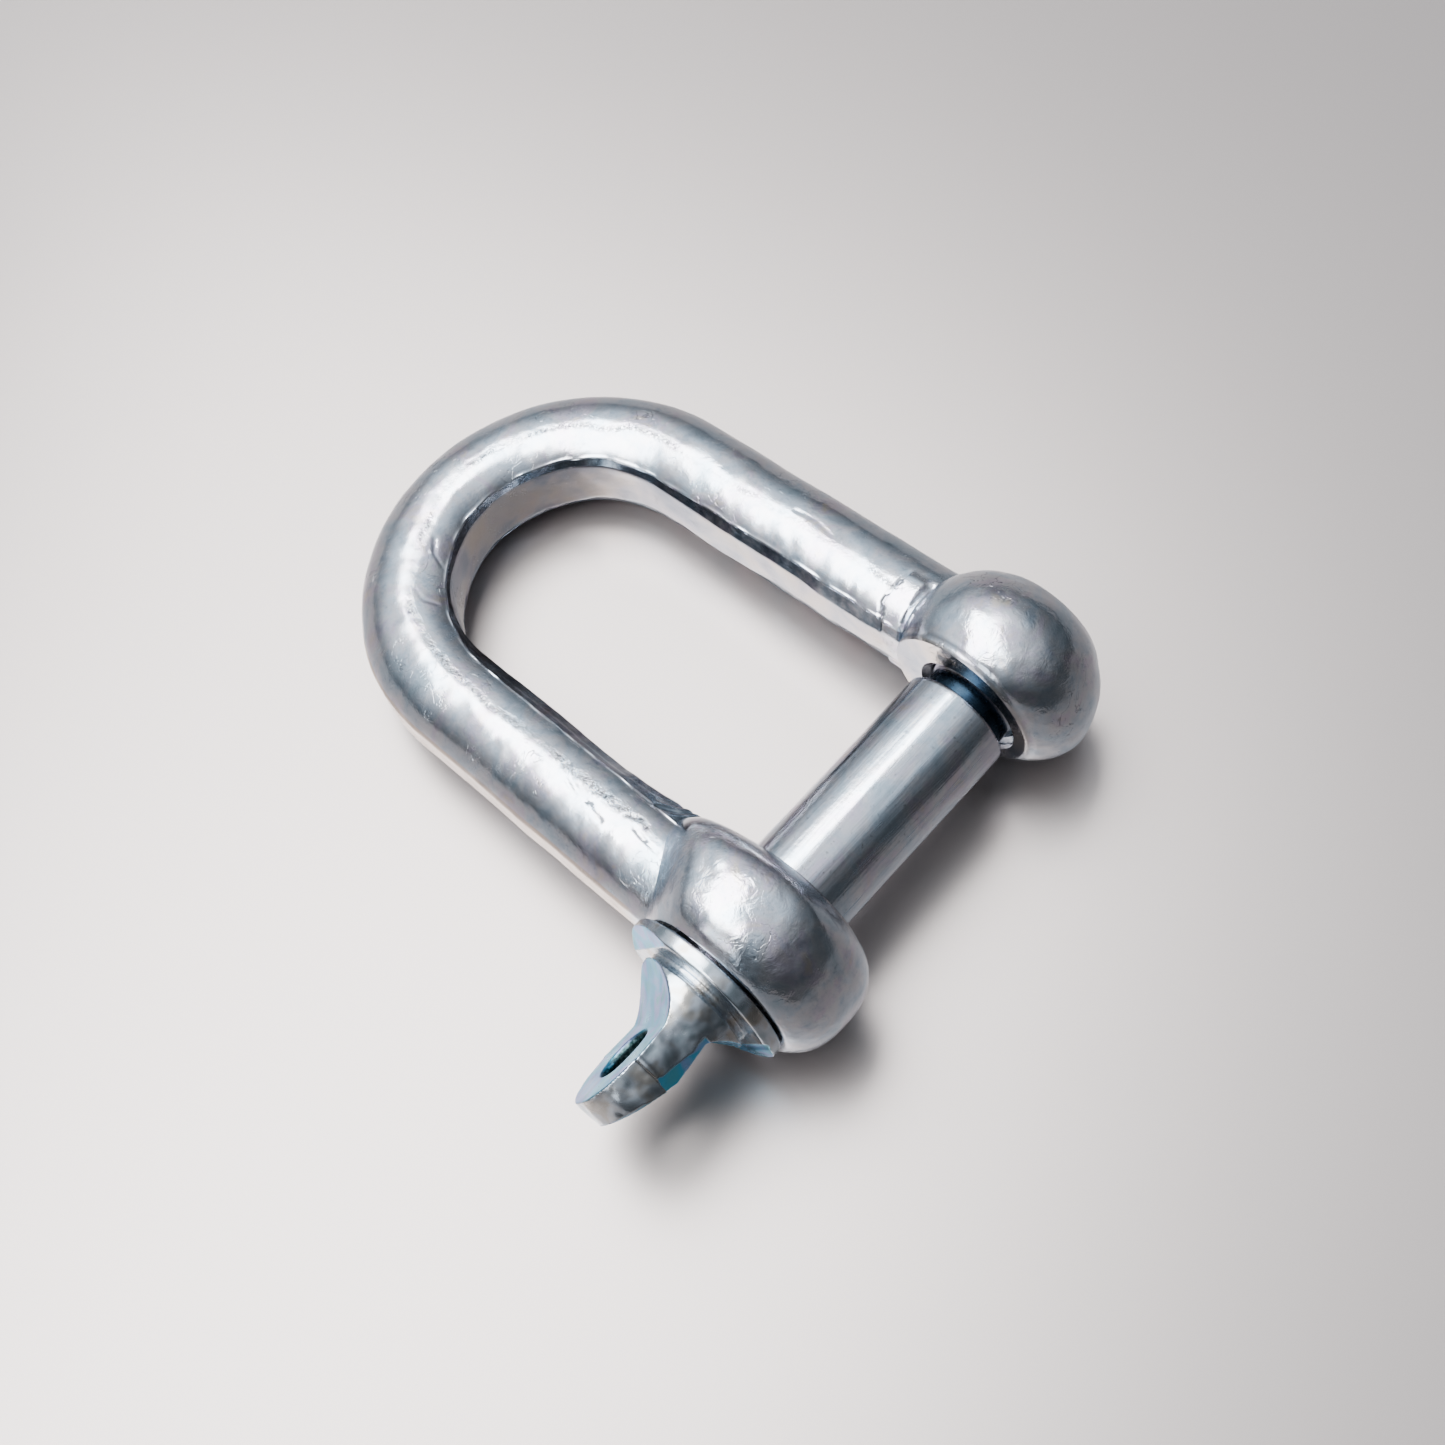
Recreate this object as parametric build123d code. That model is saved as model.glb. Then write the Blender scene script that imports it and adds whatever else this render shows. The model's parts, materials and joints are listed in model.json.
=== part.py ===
from build123d import *
from math import acos, asin, atan2, cos, degrees, hypot, pi, radians, sin
import os

# A commercial D shackle for 16 mm rod: a drop-forged bow with two lugs, closed by a screw pin.
# Frame: the origin is on the pin's axis, midway between the legs. X runs along the pin towards
# its thread, Y towards the crown of the bow, and Z up. At the end every piece is tilted a few
# degrees about the origin, so that the shackle lies on its two lugs and its crown.
# Lengths are millimetres and angles are degrees.

# Bow: one length of rod, with a flat sheared land all round its inside and its outside
ROD_D = 16.0
LEG_SPREAD = 52.0           # between the legs' centrelines, at the pin's axis
CROWN_R = 24.2              # centreline of the crown
CROWN_Y = 56.4              # centre of the crown's arc
INNER_LAND = 6.0            # from the rod's centreline to the land inside the bow
INNER_LAND_W = 8.6
SHOULDER_TURN = 39.6        # from the rod's top round to the middle of its inner shoulder
SHOULDER_R = 7.92           # the rod's radius there
OUTER_LAND = 7.75           # from the rod's centreline to the land outside the bow

# Lugs: X distances from the middle of the shackle
PLAIN_LUG_IN = 17.2
PLAIN_LUG_OUT = 33.3
PLAIN_LUG_R = 16.6
PLAIN_LUG_FACE_R = 11.8
THREADED_LUG_IN = 18.8
THREADED_LUG_OUT = 35.6
THREADED_LUG_R = 14.5
THREADED_LUG_MID = 25.6
THREADED_LUG_HALF = 12.4    # half length of the bulb before its faces are cut flat

# Pin
PIN_D = 16.0
PIN_HOLE_D = 16.8
SEAT_GAP = 0.3              # between the plain lug and the pin's collar
SHANK_END = 16.6            # X of the shoulder where the full shank stops
SHANK_END_ROUND = 0.6
RELIEF_D = 13.0             # plain groove between the shank and the thread
THREAD_START = 19.4
PIN_END = 35.0

# Thread: one start, right hand, 16 mm x 2 mm
PITCH = 2.0
THREAD_CREST_D = 15.6
THREAD_ROOT_D = 13.3
THREAD_FIT = 0.4            # how much wider the lug's thread is than the pin's
CREST_FLAT = 0.25
ROOT_FLAT = 0.30
THREAD_FROM = 17.8          # X where both threads' helices are measured from
FLANK_POINTS = 8
MOUTH_CHAMFER = 1.3
MOUTH_OVER = 0.1            # how much wider than its thread the lug's mouth opens

# Head: a collar, a pressed neck and a flat eye
COLLAR_R = 12.4
COLLAR_T = 2.3
COLLAR_ROUND = 0.5
COLLAR_FLATS = 23.0         # across the two flats that the press leaves on the collar
NECK_R = 10.4               # neck beside the collar
NECK_END_R = 8.4
HOLLOW_BACK = 2.3           # the neck's pressed hollows pass through a point this far past the collar,
HOLLOW_HALF = 5.4           # this far from the head's middle
EYE_X = 48.0                # centre of the eye, from the middle of the shackle
EYE_R = 9.3
EYE_T = 4.7
EYE_HOLE_D = 8.0
EYE_HOLE_RIM = 0.4          # chamfer round the hole
PLATE_START = 43.0          # where the neck has thinned down to the eye's plate
EYE_CLOCK = 33.0            # from Y to the eye plate's normal, about the pin's axis

# Derived
ROD_R = ROD_D / 2
PIN_R = PIN_D / 2
HALF_SPREAD = LEG_SPREAD / 2
COLLAR_X = PLAIN_LUG_OUT + SEAT_GAP
NECK_X = COLLAR_X + COLLAR_T
PLAIN_LUG_MID = (PLAIN_LUG_IN + PLAIN_LUG_OUT) / 2
THREAD_LENGTH = THREADED_LUG_OUT + MOUTH_CHAMFER - THREAD_FROM
CLEAR = 2.0                 # how far a cutting solid reaches past what it cuts

# The floor touches both lugs and the crown
CROWN_TOP = CROWN_Y + CROWN_R
ROLL = degrees(asin((PLAIN_LUG_R - THREADED_LUG_R) / (PLAIN_LUG_MID + THREADED_LUG_MID)))
MEAN_LUG_R = (PLAIN_LUG_R * THREADED_LUG_MID + THREADED_LUG_R * PLAIN_LUG_MID) / (
    PLAIN_LUG_MID + THREADED_LUG_MID)
PITCH_DOWN = degrees(asin((MEAN_LUG_R - ROD_R) / CROWN_TOP))


def lying_down(shape):
    """Tilt a piece from the shackle's own plane to how the shackle lies on a floor."""
    return Rot(Y=ROLL) * Rot(X=-PITCH_DOWN) * shape


def revolved(outline):
    """Turn a closed XY outline about the pin's axis."""
    return revolve(make_face(outline), Axis.X)


def disc(x_from, x_to, radius):
    """A plain cylinder along the pin's axis."""
    low = min(x_from, x_to)
    return Pos(X=low) * Rot(Y=90) * Cylinder(
        radius, abs(x_to - x_from), align=(Align.CENTER, Align.CENTER, Align.MIN))


def cone(x_from, r_from, x_to, r_to):
    """A cone along the pin's axis, with its radius at each end."""
    return revolved(Polyline((x_from, 0), (x_from, r_from), (x_to, r_to), (x_to, 0), close=True))


def rod_section(plane):
    """The forged rod: round, with sheared lands towards the inside and the outside."""
    half = INNER_LAND_W / 2
    outer_half = (ROD_R ** 2 - OUTER_LAND ** 2) ** 0.5
    shoulder = radians(SHOULDER_TURN)
    knee = (SHOULDER_R * sin(shoulder), SHOULDER_R * cos(shoulder))
    top = ThreePointArc((0, ROD_R), knee, (INNER_LAND, half))
    land = Line((INNER_LAND, half), (INNER_LAND, -half))
    bottom = ThreePointArc((INNER_LAND, -half), (knee[0], -knee[1]), (0, -ROD_R))
    lower = RadiusArc((0, -ROD_R), (-OUTER_LAND, -outer_half), ROD_R)
    back = Line((-OUTER_LAND, -outer_half), (-OUTER_LAND, outer_half))
    upper = RadiusArc((-OUTER_LAND, outer_half), (0, ROD_R), ROD_R)
    return plane * make_face([top, land, bottom, lower, back, upper])


def bow():
    """The bent rod: two legs that lean in slightly, and the round crown."""
    reach = hypot(HALF_SPREAD, CROWN_Y)
    touch = atan2(-CROWN_Y, -HALF_SPREAD) - acos(CROWN_R / reach)
    side = (CROWN_R * cos(touch), CROWN_Y + CROWN_R * sin(touch))
    other = (-side[0], side[1])
    start = (-HALF_SPREAD, 0)
    path = Wire([
        Line(start, side).edge(),
        ThreePointArc(side, (0, CROWN_TOP), other).edge(),
        Line(other, (HALF_SPREAD, 0)).edge(),
    ])
    along = Vector(side[0] - start[0], side[1] - start[1], 0).normalized()
    plane = Plane(origin=start, x_dir=(along.Y, -along.X, 0), z_dir=along)
    return sweep(rod_section(plane), path)


def plain_lug():
    """The flattened lug at the pin's head: flat faces and a round rim."""
    rim = ThreePointArc(
        (-PLAIN_LUG_OUT, PLAIN_LUG_FACE_R),
        (-PLAIN_LUG_MID, PLAIN_LUG_R),
        (-PLAIN_LUG_IN, PLAIN_LUG_FACE_R))
    faces = Polyline(
        rim @ 1, (-PLAIN_LUG_IN, 0), (-PLAIN_LUG_OUT, 0), rim @ 0)
    return revolved([rim, faces])


def threaded_lug():
    """The fatter, egg-shaped lug at the pin's thread, with its two faces cut flat."""
    egg = Pos(X=THREADED_LUG_MID) * revolve(
        Ellipse(THREADED_LUG_HALF, THREADED_LUG_R) & Pos(Y=THREADED_LUG_R) * Rectangle(
            2 * THREADED_LUG_HALF, 2 * THREADED_LUG_R), Axis.X)
    return egg & disc(THREADED_LUG_IN, THREADED_LUG_OUT, 2 * THREADED_LUG_R)


def thread_section(crest_d, root_d):
    """Across a one-start thread the radius climbs and falls once a turn, like a cam."""
    crest_r, root_r = crest_d / 2, root_d / 2
    crest_half = pi * CREST_FLAT / PITCH
    root_half = pi * ROOT_FLAT / PITCH

    def at(radius, angle):
        return (radius * cos(angle), radius * sin(angle))

    def flank(a_from, r_from, a_to, r_to):
        steps = [i / FLANK_POINTS for i in range(FLANK_POINTS + 1)]
        return Spline(*[at(r_from + (r_to - r_from) * s, a_from + (a_to - a_from) * s) for s in steps])

    crest = ThreePointArc(at(crest_r, -crest_half), at(crest_r, 0), at(crest_r, crest_half))
    falling = flank(crest_half, crest_r, pi - root_half, root_r)
    root = ThreePointArc(at(root_r, pi - root_half), at(root_r, pi), at(root_r, pi + root_half))
    rising = flank(pi + root_half, root_r, 2 * pi - crest_half, crest_r)
    return Face(Wire([crest, falling, root, rising]))


def helical_core(crest_d, root_d):
    """A threaded rod along X. The pin's and the lug's are alike, so they are in mesh."""
    turn = 360 * THREAD_LENGTH / PITCH
    section = thread_section(crest_d, root_d)
    upright = Solid.extrude_linear_with_rotation(section, (0, 0, 0), (0, 0, THREAD_LENGTH), turn)
    return Pos(X=THREAD_FROM) * Rot(Y=90) * upright


def lug_thread():
    """What the tap takes out of the threaded lug, with a countersink at each mouth."""
    crest_d = THREAD_CREST_D + THREAD_FIT
    mouth_r = crest_d / 2 + MOUTH_OVER
    tapped = helical_core(crest_d, THREAD_ROOT_D + THREAD_FIT)
    inner = cone(THREADED_LUG_IN - CLEAR, mouth_r + CLEAR, THREADED_LUG_IN + MOUTH_CHAMFER,
                 mouth_r - MOUTH_CHAMFER)
    outer = cone(THREADED_LUG_OUT + CLEAR, mouth_r + CLEAR, THREADED_LUG_OUT - MOUTH_CHAMFER,
                 mouth_r - MOUTH_CHAMFER)
    return tapped + inner + outer


def shackle_body():
    """The bow and its two lugs, one forging."""
    seat = disc(-PLAIN_LUG_OUT - CLEAR, -PLAIN_LUG_OUT, COLLAR_R + CLEAR)
    pin_hole = disc(-PLAIN_LUG_OUT - CLEAR, -PLAIN_LUG_IN + CLEAR, PIN_HOLE_D / 2)
    forging = bow() + plain_lug() + threaded_lug()
    return forging - seat - pin_hole - lug_thread()


def pin_shank():
    """The plain shank, from the collar to the shoulder in front of the threaded lug."""
    shank = disc(-COLLAR_X, SHANK_END, PIN_R)
    return fillet(shank.edges().sort_by(Axis.X)[-1], SHANK_END_ROUND)


def pin_threaded_end():
    """The relief groove and the thread, with a chamfered tip."""
    relief_r = RELIEF_D / 2
    outside_r = THREAD_CREST_D / 2 + CLEAR
    rise = outside_r - relief_r
    envelope = revolved(Polyline(
        (THREAD_START, 0),
        (THREAD_START, relief_r),
        (THREAD_START + rise, outside_r),
        (PIN_END - rise, outside_r),
        (PIN_END, relief_r),
        (PIN_END, 0),
        close=True))
    relief = disc(SHANK_END, THREAD_START, relief_r)
    return (helical_core(THREAD_CREST_D, THREAD_ROOT_D) & envelope) + relief


def head_blank():
    """The head before pressing: a collar, a tapered neck and a ball."""
    collar = disc(-COLLAR_X, -NECK_X, COLLAR_R)
    collar = fillet(collar.edges().filter_by(GeomType.CIRCLE), COLLAR_ROUND)
    neck = cone(-NECK_X, NECK_R, -EYE_X, NECK_END_R)
    ball = Pos(X=-EYE_X) * Sphere(EYE_R)
    return collar + neck + ball


def press_slab():
    """What the press leaves: flats on the collar, hollow sides on the neck, a flat plate."""
    flat = COLLAR_FLATS / 2
    plate = EYE_T / 2
    end = -EYE_X - EYE_R - CLEAR
    upper = ThreePointArc(
        (-NECK_X, flat), (-NECK_X - HOLLOW_BACK, HOLLOW_HALF), (-PLATE_START, plate))
    lower = mirror(upper, Plane.XZ)
    outline = [
        upper,
        Line((-PLATE_START, plate), (end, plate)),
        Line((end, plate), (end, -plate)),
        Line((end, -plate), (-PLATE_START, -plate)),
        lower,
        Line((-NECK_X, -flat), (-COLLAR_X, -flat)),
        Line((-COLLAR_X, -flat), (-COLLAR_X, flat)),
        Line((-COLLAR_X, flat), (-NECK_X, flat)),
    ]
    return extrude(make_face(outline), COLLAR_R + CLEAR, both=True)


def pin_eye_head():
    """The collar, the neck and the flat eye with its hole."""
    hole = Pos(X=-EYE_X) * Rot(X=90) * Cylinder(EYE_HOLE_D / 2, EYE_T + 2 * CLEAR)
    pressed = (head_blank() & press_slab()) - hole
    rims = pressed.edges().filter_by(GeomType.CIRCLE).filter_by(
        lambda rim: round(rim.radius, 3) == EYE_HOLE_D / 2)
    return Rot(X=EYE_CLOCK) * chamfer(rims, EYE_HOLE_RIM)


pieces = {
    "shackle_body": shackle_body(),
    "pin_shank": pin_shank(),
    "pin_threaded_end": pin_threaded_end(),
    "pin_eye_head": pin_eye_head(),
}

os.makedirs("parts", exist_ok=True)
for name, piece in pieces.items():
    export_step(lying_down(piece), f"parts/{name}.step")
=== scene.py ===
import json
import math

import bpy
import numpy as np
from mathutils import Matrix, Vector


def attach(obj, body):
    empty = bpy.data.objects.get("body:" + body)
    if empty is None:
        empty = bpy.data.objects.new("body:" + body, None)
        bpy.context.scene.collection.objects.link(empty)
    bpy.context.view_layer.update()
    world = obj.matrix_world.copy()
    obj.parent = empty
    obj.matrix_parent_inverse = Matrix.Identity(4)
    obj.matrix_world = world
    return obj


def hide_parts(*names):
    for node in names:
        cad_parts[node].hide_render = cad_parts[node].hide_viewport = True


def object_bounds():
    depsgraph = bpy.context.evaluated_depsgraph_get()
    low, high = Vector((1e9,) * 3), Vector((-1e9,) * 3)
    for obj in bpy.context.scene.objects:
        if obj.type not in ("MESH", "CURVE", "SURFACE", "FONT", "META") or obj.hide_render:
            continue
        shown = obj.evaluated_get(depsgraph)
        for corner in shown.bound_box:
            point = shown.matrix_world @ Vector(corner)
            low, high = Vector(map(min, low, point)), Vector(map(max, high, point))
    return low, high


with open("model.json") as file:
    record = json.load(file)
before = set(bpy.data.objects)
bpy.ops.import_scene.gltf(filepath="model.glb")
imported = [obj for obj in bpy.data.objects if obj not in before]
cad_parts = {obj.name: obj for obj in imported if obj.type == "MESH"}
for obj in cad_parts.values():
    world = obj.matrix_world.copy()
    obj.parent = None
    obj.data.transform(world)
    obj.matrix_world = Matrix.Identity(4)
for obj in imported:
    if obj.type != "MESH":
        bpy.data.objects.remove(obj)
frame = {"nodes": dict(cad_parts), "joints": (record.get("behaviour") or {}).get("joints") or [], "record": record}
cad_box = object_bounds()

# The shackle is modelled in its own plane, in millimetres: x along the pin towards its thread,
# y towards the crown, z up. laid_down() then tilts it as the CAD lies, and scales it to metres.
MM = 0.001

# Sizes in millimetres: the CAD model's own, but for the eye's reach and plate, which are finer here
ROD_R = 8.0
HALF_SPREAD = 26.0
CROWN_R = 24.2
CROWN_Y = 56.4
INNER_LAND = 6.0
OUTER_LAND = 7.75
PLAIN_LUG = {"inner": 17.2, "outer": 33.3, "radius": 16.6, "middle": 25.25, "power": 2.8, "lip": 1.0}
THREADED_LUG = {"inner": 18.8, "outer": 35.6, "radius": 14.5, "middle": 25.6, "power": 2.0, "lip": 0.4}
PIN_HOLE_R = 8.4
PIN_R = 8.0
COLLAR_X = 33.6
COLLAR_R = 12.4
NECK_X = 35.9
SHANK_END = 16.6
PITCH = 2.0
THREAD_FROM = 17.8
NUT_CREST_R = 8.0
NUT_ROOT_R = 6.85
NUT_MOUTH_R = NUT_CREST_R + 0.1
EYE_X = 48.0
EYE_REACH = 9.0
EYE_HOLE_R = 4.0
EYE_CLOCK = math.radians(33.0)
PLATE_HALF = 2.15
PLATE_START = 43.2


# ---------------------------------------------------------------- helpers

def shackle_axes():
    """The shackle's own axes in the row frame, read from the pin's joint and the crown's mount."""
    joints = {j["name"]: j for j in frame["joints"]}
    mounts = {m["name"]: m for m in frame["record"]["mounts"]}
    along_pin = -Vector(joints["pin_travel"]["axis"]).normalized()
    to_crown = -Vector(mounts["bow_crown"]["axis"])
    to_crown = (to_crown - along_pin * to_crown.dot(along_pin)).normalized()
    return np.array([along_pin, to_crown, along_pin.cross(to_crown)])


AXES = shackle_axes()


def laid_down(points):
    """Shackle millimetres to row-frame metres."""
    return np.asarray(points) @ AXES * MM


def stood_up(points):
    """Row-frame metres to shackle millimetres."""
    return np.asarray(points) @ AXES.T / MM


def lattice(ix, iy, iz, seed):
    """A repeatable random value from -1 to 1 for each whole-number point."""
    n = (ix * 374761393 + iy * 668265263 + iz * 1440662683 + seed * 974634777) & 0xFFFFFFFF
    n = ((n ^ (n >> 13)) * 1274126177) & 0xFFFFFFFF
    return (n ^ (n >> 16)) / 0x7FFFFFFF - 1.0


def noise(points, size, seed):
    """Smooth value noise, from -1 to 1, with lumps about size across."""
    p = np.asarray(points, float) / size
    cell = np.floor(p).astype(np.int64)
    t = p - cell
    t = t * t * t * (t * (6 * t - 15) + 10)
    total = 0.0
    for corner in range(8):
        step = np.array([corner & 1, corner >> 1 & 1, corner >> 2 & 1])
        weight = np.prod(np.where(step, t, 1 - t), axis=-1)
        total = total + weight * lattice(*np.moveaxis(cell + step, -1, 0), seed)
    return total


def smooth_step(value, low, high):
    """0 below low, 1 above high, and a smooth ramp between."""
    t = np.clip((value - low) / (high - low), 0, 1)
    return t * t * (3 - 2 * t)


def soft_min(a, b, blend):
    """The smaller of two values, with a rounded change from one to the other."""
    h = np.clip(0.5 + 0.5 * (b - a) / blend, 0, 1)
    return b * (1 - h) + a * h - blend * h * (1 - h)


def ridge(value, middle, width):
    """A smooth bump of height 1 at middle."""
    return np.exp(-((value - middle) / width) ** 2)


def grid_faces(rows, columns, close_rows=False):
    """Quads over a grid whose columns close into a ring, and whose rows may too."""
    last = rows if close_rows else rows - 1
    i, j = np.meshgrid(np.arange(last), np.arange(columns), indexing="ij")
    up, right = (i + 1) % rows, (j + 1) % columns
    quads = np.stack([i * columns + j, i * columns + right, up * columns + right, up * columns + j], -1)
    return quads.reshape(-1, 4)


def grid_normals(points, close_rows=False):
    """Unit normals of a grid of points whose columns close into a ring."""
    across = np.roll(points, -1, 1) - np.roll(points, 1, 1)
    if close_rows:
        along = np.roll(points, -1, 0) - np.roll(points, 1, 0)
    else:
        along = np.gradient(points, axis=0)
    normal = np.cross(across, along)
    return normal / np.linalg.norm(normal, axis=-1, keepdims=True)


def mesh_object(name, points, faces):
    """A mesh from shackle millimetres, smooth shaded, laid down in the row frame."""
    mesh = bpy.data.meshes.new(name)
    mesh.from_pydata(laid_down(points).tolist(), [], [list(f) for f in faces])
    mesh.polygons.foreach_set("use_smooth", [True] * len(mesh.polygons))
    mesh.update()
    obj = bpy.data.objects.new(name, mesh)
    bpy.context.scene.collection.objects.link(obj)
    return obj


def vertex_array(mesh):
    """A mesh's points, in row-frame metres."""
    flat = np.zeros(len(mesh.vertices) * 3, np.float32)
    mesh.vertices.foreach_get("co", flat)
    return flat.reshape(-1, 3).astype(float)


def applied(obj):
    """Replace an object's mesh by what its modifiers make of it."""
    graph = bpy.context.evaluated_depsgraph_get()
    mesh = bpy.data.meshes.new_from_object(obj.evaluated_get(graph))
    obj.modifiers.clear()
    obj.data = mesh
    return obj


# Depth and width of a hot forging's swells and ripples, in millimetres
FORGED_RIPPLES = [(0.13, 9.0), (0.065, 4.4), (0.022, 2.0)]


def forged(points, normals, seed, lumps=1.0):
    """The uneven skin of a hot forging: broad swells, then smaller and smaller ripples."""
    depth = sum(deep * noise(points, wide, seed + k) for k, (deep, wide) in enumerate(FORGED_RIPPLES)) * lumps
    return points + normals * depth[..., None]


def cell_edges():
    """The twelve edges of a unit cell, each as its two corners."""
    corners = [(i, j, k) for i in (0, 1) for j in (0, 1) for k in (0, 1)]
    pairs = [(a, b) for a in corners for b in corners if sum(b) - sum(a) == 1]
    return [(a, b) for a, b in pairs if all(q >= p for p, q in zip(a, b))]


def cell_points(value, cells):
    """Which cells the zero level crosses, and for each of them the mean place where it cuts their edges."""
    def at_corner(offset):
        return value[tuple(slice(o, o + n) for o, n in zip(offset, cells))]

    total, count = np.zeros((*cells, 3)), np.zeros(cells)
    for a, b in cell_edges():
        va, vb = at_corner(a), at_corner(b)
        crossed = (va < 0) != (vb < 0)
        t = np.where(crossed, va / np.where(crossed, va - vb, 1), 0)
        spot = np.array(a) + t[..., None] * (np.array(b) - np.array(a))
        total += spot * crossed[..., None]
        count += crossed
    active = count > 0
    return active, np.argwhere(active) + total[active] / count[active][:, None]


def level_surface(field, low, high, step):
    """Points and quads where field is zero inside a box: one point for each grid cell that it crosses."""
    axes = [np.arange(a, b + step, step) for a, b in zip(low, high)]
    value = field(np.stack(np.meshgrid(*axes, indexing="ij"), -1))
    cells = np.array(value.shape) - 1
    active, places = cell_points(value, cells)
    points = places * step + np.array(low)
    number = np.full(cells, -1)
    number[active] = np.arange(active.sum())
    quads = []
    for axis in range(3):
        j, k = (axis + 1) % 3, (axis + 2) % 3
        ahead = np.roll(value, -1, axis)
        crossed = (value < 0) != (ahead < 0)
        at = np.argwhere(crossed)
        at = at[(at[:, j] > 0) & (at[:, k] > 0) & (at < cells).all(1)]
        around = [at - np.eye(3, dtype=int)[j] * p - np.eye(3, dtype=int)[k] * q
                  for p, q in ((0, 0), (1, 0), (1, 1), (0, 1))]
        ring = np.stack([number[tuple(c.T)] for c in around], -1)
        leaving = value[tuple(at.T)] < 0
        quads.append(np.where(leaving[:, None], ring, ring[:, ::-1]))
    return points, np.concatenate(quads)


def settled(points, field, rounds):
    """Slide points onto the zero level of field."""
    reach, least_slope, longest_step = 0.02, 0.3, 0.1
    for _ in range(rounds):
        slope = np.stack([field(points + d) - field(points - d) for d in np.eye(3) * reach], -1) / (2 * reach)
        size = np.maximum(np.sum(slope ** 2, -1), least_slope)
        points = points - slope * np.clip(field(points) / size, -longest_step, longest_step)[:, None]
    return points


# ---------------------------------------------------------------- bow

def rod_path():
    """The left leg's direction and length, the angle where it meets the crown, and the rod's whole length."""
    reach = math.hypot(HALF_SPREAD, CROWN_Y)
    touch = math.atan2(-CROWN_Y, -HALF_SPREAD) + 2 * math.pi - math.acos(CROWN_R / reach)
    corner = np.array([CROWN_R * math.cos(touch), CROWN_Y + CROWN_R * math.sin(touch)])
    leg = corner - np.array([-HALF_SPREAD, 0.0])
    leg_length = float(np.hypot(*leg))
    return leg / leg_length, leg_length, touch, 2 * leg_length + CROWN_R * (2 * touch - math.pi)


LEG, LEG_LENGTH, TOUCH, ROD_LENGTH = rod_path()


def centreline(s):
    """Centre and inward direction of the rod, s millimetres along it from the pin's axis."""
    mirrored = s > ROD_LENGTH / 2
    t = np.where(mirrored, ROD_LENGTH - s, s)
    on_leg = t < LEG_LENGTH
    turn = TOUCH - (t - LEG_LENGTH) / CROWN_R
    x = np.where(on_leg, -HALF_SPREAD + LEG[0] * t, CROWN_R * np.cos(turn))
    y = np.where(on_leg, LEG[1] * t, CROWN_Y + CROWN_R * np.sin(turn))
    inward_x = np.where(on_leg, LEG[1], -np.cos(turn))
    inward_y = np.where(on_leg, -LEG[0], -np.sin(turn))
    flip = np.where(mirrored, -1.0, 1.0)
    return np.stack([x * flip, y, 0 * x], -1), np.stack([inward_x * flip, inward_y, 0 * x], -1)


def rod_place(points):
    """Distance along the rod, distance inward from its centreline and height, of points near it."""
    x, y = -np.abs(points[..., 0]), points[..., 1]
    t = (x + HALF_SPREAD) * LEG[0] + y * LEG[1]
    beside_leg = (x + HALF_SPREAD) * LEG[1] - y * LEG[0]
    around = LEG_LENGTH + (TOUCH - np.arctan2(y - CROWN_Y, x) % (2 * math.pi)) * CROWN_R
    on_leg = t < LEG_LENGTH
    t = np.where(on_leg, t, around)
    a = np.where(on_leg, beside_leg, CROWN_R - np.hypot(x, y - CROWN_Y))
    return np.where(points[..., 0] > 0, ROD_LENGTH - t, t), a, points[..., 2]


# What is special to a leg is whole up to the first distance from the pin's axis, and gone from the second
LEG_WHOLE = 50.0
LEG_GONE = 76.0

# Far apart in the noise, so that the rod's upper and under sides each wander in their own way
SIDES_APART = 50.0

# How much lower than the rod's circle the ridge on the under side lies
UNDER_TRIM = 1.1


def on_near_leg(s):
    """1 along the near leg, falling to 0 round the crown."""
    return 1 - smooth_step(s, LEG_WHOLE, LEG_GONE)


def on_far_leg(s):
    """1 along the far leg, falling to 0 round the crown."""
    return smooth_step(s, ROD_LENGTH - LEG_GONE, ROD_LENGTH - LEG_WHOLE)


def rod_noise(s, side, size, seed):
    """Noise along the rod, for the upper side where side is 1 and for the under side where it is -1."""
    return noise(np.stack([s, 0 * s, 0 * s + SIDES_APART * side], -1), size, seed)


def rod_height(inward, side):
    """Height of the rod's skin at the ridge: on its circle above, and trimmed lower below."""
    return np.sqrt(ROD_R ** 2 - inward ** 2) - (UNDER_TRIM if side < 0 else 0.0)


def ridge_place(s, side):
    """Distance inward and height of the ridge beside the inner land, wandering along the rod."""
    furthest_in, less_on_near_leg, drop = 5.62, 0.98, 0.14
    wander = 0.16 * rod_noise(s, side, 13.0, 11 + side) + 0.07 * rod_noise(s, side, 3.1, 13 + side)
    inward = furthest_in - less_on_near_leg * on_near_leg(s) + wander
    return inward, rod_height(inward, side) - drop


def band_height(s, side):
    """Height of the slanted band between the ridge and the inner land: low at the crown."""
    at_crown, far_more, far_lug_more, near_more = 0.72, 0.28, 0.7, 0.95
    by_far_lug = smooth_step(s, ROD_LENGTH - 60, ROD_LENGTH - 18)
    tall = at_crown + far_more * on_far_leg(s) + far_lug_more * by_far_lug + near_more * on_near_leg(s)
    uneven = 1.40 + 0.40 * rod_noise(s, side, 11.0, 15 + side) + 0.22 * rod_noise(s, side, 2.7, 17 + side)
    return uneven * tall


def land_place(s):
    """Distance inward of the inner land: more on the legs, and flared where it runs into the near lug."""
    proud, near_more, far_more, flare = 0.05, 0.70, 0.25, 1.3
    by_near_lug = 1 - smooth_step(s, 13.0, 27.0)
    return INNER_LAND + proud + near_more * on_near_leg(s) + far_more * on_far_leg(s) + flare * by_near_lug


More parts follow.
